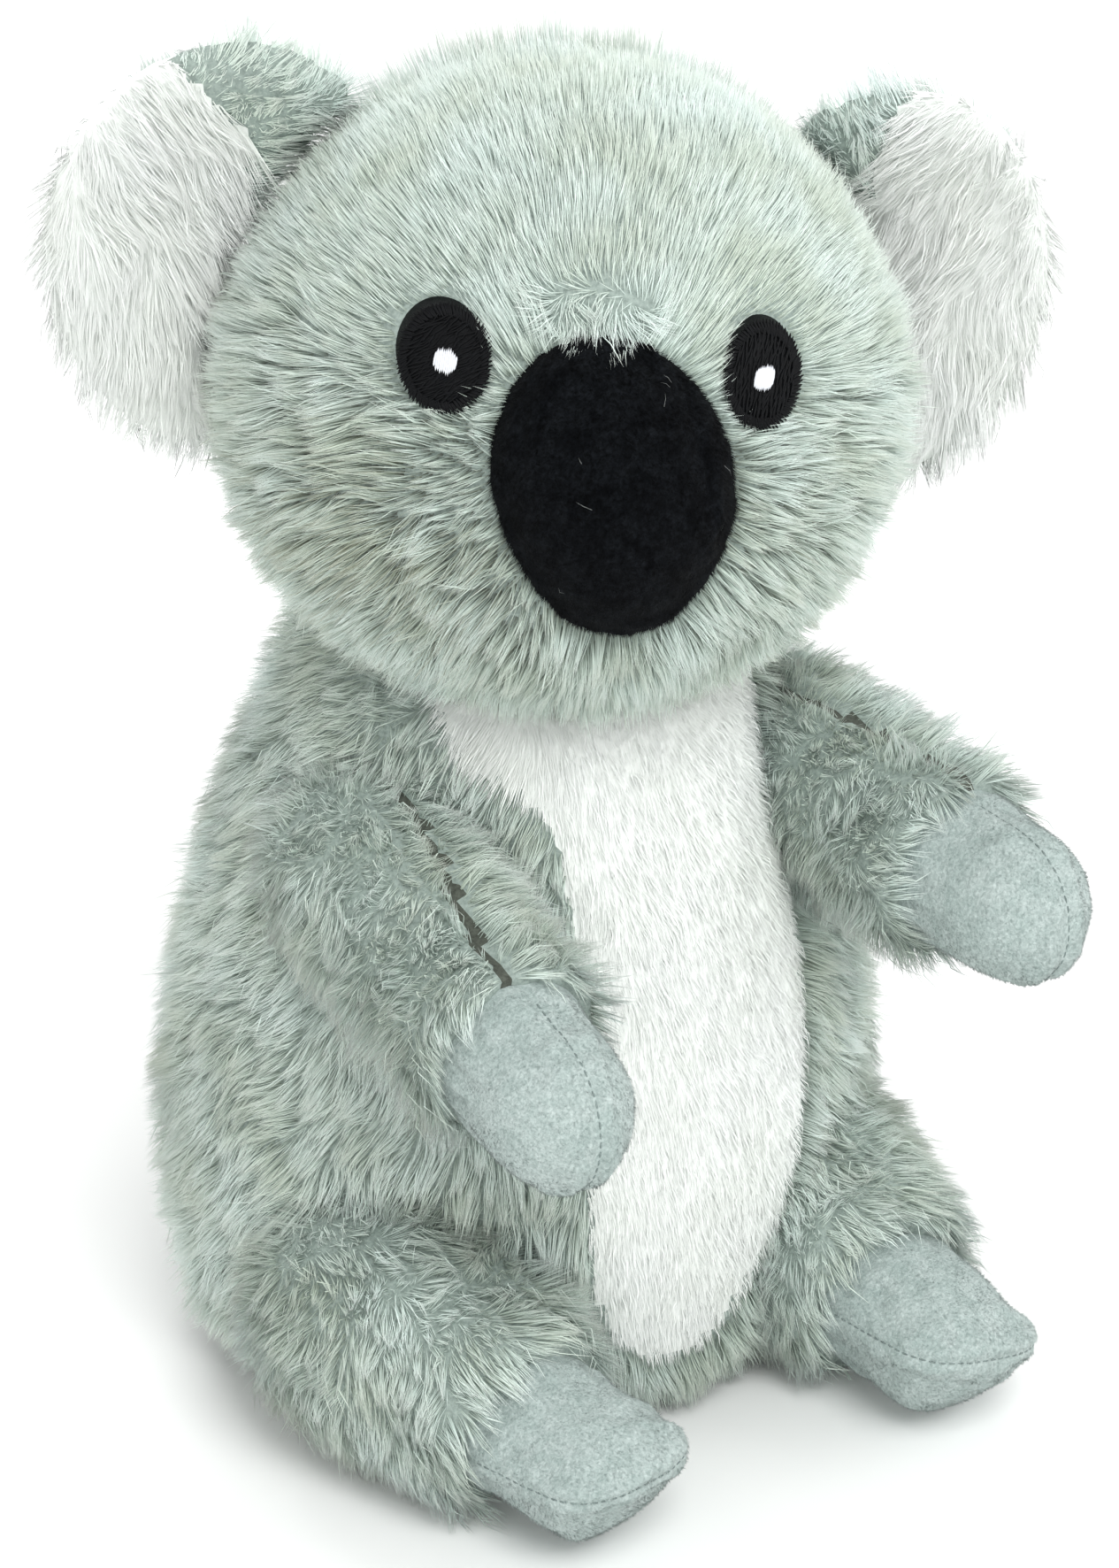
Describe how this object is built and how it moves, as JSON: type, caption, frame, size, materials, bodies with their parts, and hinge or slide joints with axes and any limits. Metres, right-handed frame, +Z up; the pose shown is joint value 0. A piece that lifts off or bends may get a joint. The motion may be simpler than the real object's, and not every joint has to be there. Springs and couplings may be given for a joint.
{
  "type": "plush koala",
  "caption": "Seated plush koala with long grey pile, white belly and ear fronts, short-pile paws and feet, a padded nose and embroidered eyes.",
  "frame": {"origin": "centre of the flat seat, on the surface the koala sits on", "axes": "+Z up from the seat; the body faces -Y; +X is the koala's own left side"},
  "size_m": [0.213, 0.2031, 0.3182],
  "materials": {
    "grey_long_pile": "long soft plush pile",
    "white_long_pile": "long soft plush pile",
    "short_pile": "short brushed pile",
    "black_velour": "short velour pile",
    "black_thread": "satin-stitch embroidery",
    "white_thread": "satin-stitch embroidery",
    "stuffing": "loose polyester fibre"
  },
  "bodies": {
    "body": {"body_cover": "grey_long_pile", "belly_panel": "white_long_pile", "body_stuffing": "stuffing"},
    "head": {"face_cover": "grey_long_pile", "head_back_cover": "grey_long_pile", "head_stuffing": "stuffing", "nose_cover": "black_velour", "nose_stuffing": "stuffing", "right_eye": "black_thread", "left_eye": "black_thread", "right_eye_highlight": "white_thread", "left_eye_highlight": "white_thread"},
    "right_ear": {"right_ear_front": "white_long_pile", "right_ear_back": "grey_long_pile"},
    "left_ear": {"left_ear_front": "white_long_pile", "left_ear_back": "grey_long_pile"},
    "right_arm": {"right_arm_sleeve": "grey_long_pile", "right_paw_outer": "short_pile", "right_paw_inner": "short_pile", "right_arm_stuffing": "stuffing"},
    "left_arm": {"left_arm_sleeve": "grey_long_pile", "left_paw_outer": "short_pile", "left_paw_inner": "short_pile", "left_arm_stuffing": "stuffing"},
    "right_leg": {"right_leg_sleeve": "grey_long_pile", "right_foot_top": "short_pile", "right_foot_sole": "short_pile", "right_leg_stuffing": "stuffing"},
    "left_leg": {"left_leg_sleeve": "grey_long_pile", "left_foot_top": "short_pile", "left_foot_sole": "short_pile", "left_leg_stuffing": "stuffing"}
  },
  "joints": [
    {"name": "neck_turn", "type": "hinge", "parent": "body", "child": "head", "pos_m": [-0.007, -0.004, 0.168], "axis": [0.1105, -0.0515, 0.9925], "range_deg": [-10, 50], "stiffness_Nm_per_rad": 0.12},
    {"name": "right_ear_flop", "type": "hinge", "parent": "head", "child": "right_ear", "pos_m": [-0.04253, 0.03684, 0.26576], "axis": [0.1105, -0.0515, 0.9925], "range_deg": [-15, 15], "stiffness_Nm_per_rad": 0.03},
    {"name": "left_ear_flop", "type": "hinge", "parent": "head", "child": "left_ear", "pos_m": [0.06723, -0.01434, 0.25089], "axis": [0.1105, -0.0515, 0.9925], "range_deg": [-15, 15], "stiffness_Nm_per_rad": 0.03},
    {"name": "right_shoulder_swing", "type": "hinge", "parent": "body", "child": "right_arm", "pos_m": [-0.056, -0.016, 0.137], "axis": [-0.9986, 0.0523, 0], "range_deg": [-4, 27], "stiffness_Nm_per_rad": 0.15},
    {"name": "left_shoulder_swing", "type": "hinge", "parent": "body", "child": "left_arm", "pos_m": [0.056, -0.016, 0.137], "axis": [-0.9986, -0.0523, 0], "range_deg": [-15, 16], "stiffness_Nm_per_rad": 0.15},
    {"name": "right_hip_splay", "type": "hinge", "parent": "body", "child": "right_leg", "pos_m": [-0.061, -0.028, 0.0335], "axis": [0, 0, -1], "range_deg": [-8, 16], "stiffness_Nm_per_rad": 0.2},
    {"name": "left_hip_splay", "type": "hinge", "parent": "body", "child": "left_leg", "pos_m": [0.047, -0.028, 0.0335], "axis": [0, 0, 1], "range_deg": [-8, 16], "stiffness_Nm_per_rad": 0.2}
  ]
}
